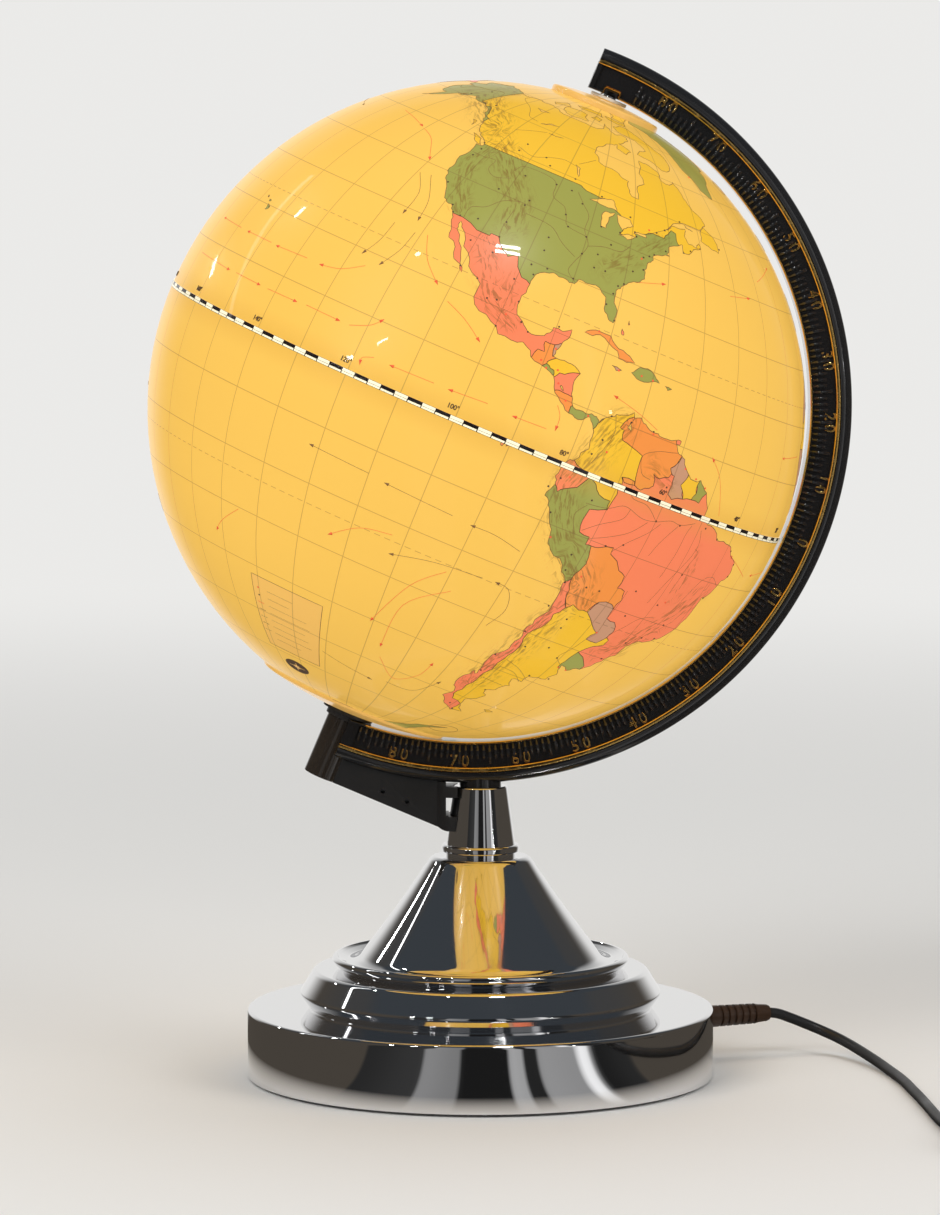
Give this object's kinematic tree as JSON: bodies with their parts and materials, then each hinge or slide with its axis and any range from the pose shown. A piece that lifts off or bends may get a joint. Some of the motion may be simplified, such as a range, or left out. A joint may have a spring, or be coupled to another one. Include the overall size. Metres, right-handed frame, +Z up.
{
  "type": "desk globe",
  "caption": "Lit desk globe: a ball turning on a tilted axis between the ends of a half meridian arm, on a stepped round chromed base with a cord.",
  "frame": {"origin": "on the desk, at the centre of the underside of the felt pad", "axes": "+Z up; +X towards the back of the meridian arm, in the plane of the arm; +Y away from the side that is looked at"},
  "size_m": [0.3763, 0.3105, 0.3936],
  "materials": {
    "felt": "black felt pad",
    "chrome": "bright polished plate",
    "steel": "zinc plated",
    "ballast": "raw casting",
    "white_plastic": "satin",
    "black_gloss": "gloss black with gold rims and numerals",
    "black_satin": "satin black",
    "tube_paint": "gloss dark brown",
    "black_plastic": "satin",
    "brass": "bright",
    "bulb": "opal glass, lit",
    "plated": "bright plated",
    "map_north": "printed map, lit from inside",
    "map_south": "printed map, lit from inside",
    "tape": "printed scale tape",
    "wire_white": "matt",
    "cord_black": "satin",
    "relief": "satin dark brown"
  },
  "bodies": {
    "stand": {"felt_pad": "felt", "drum_shell": "chrome", "base_plate": "steel", "plate_screws": "steel", "ballast_weight": "ballast", "touch_module": "white_plastic", "base_ring": "chrome", "base_cone": "chrome", "neck_flange": "chrome", "neck_spacer": "steel", "neck_sleeve": "chrome", "tie_rod": "steel", "rod_washer": "steel", "lower_nut": "steel", "upper_nut": "steel", "meridian_arc": "black_gloss", "arm_bracket": "black_satin", "bracket_cover": "black_satin", "cover_screws": "steel", "arm_screw": "steel", "axis_tube": "tube_paint", "tube_plug": "black_plastic", "tube_collar": "black_plastic", "pivot_pin": "steel", "lamp_holder": "white_plastic", "holder_shell": "brass", "bulb_glass": "bulb", "bulb_cap": "plated", "lamp_lead": "wire_white", "mains_lead": "cord_black", "cord_gland": "relief", "gland_nut": "relief", "cord_run": "cord_black", "cord_coil": "cord_black", "cord_tail": "cord_black", "cord_tie": "cord_black", "plug_body": "cord_black", "plug_blades": "plated"},
    "globe": {"north_hemisphere": "map_north", "south_hemisphere": "map_south", "equator_tape": "tape", "north_cap": "map_north", "north_washer": "white_plastic", "south_cap": "map_south", "south_bush": "black_plastic"}
  },
  "joints": [
    {"name": "globe_spin", "type": "hinge", "parent": "stand", "child": "globe", "pos_m": [-0.0015, 0, 0.2565], "axis": [0.3907, 0, 0.9205], "continuous": true}
  ]
}
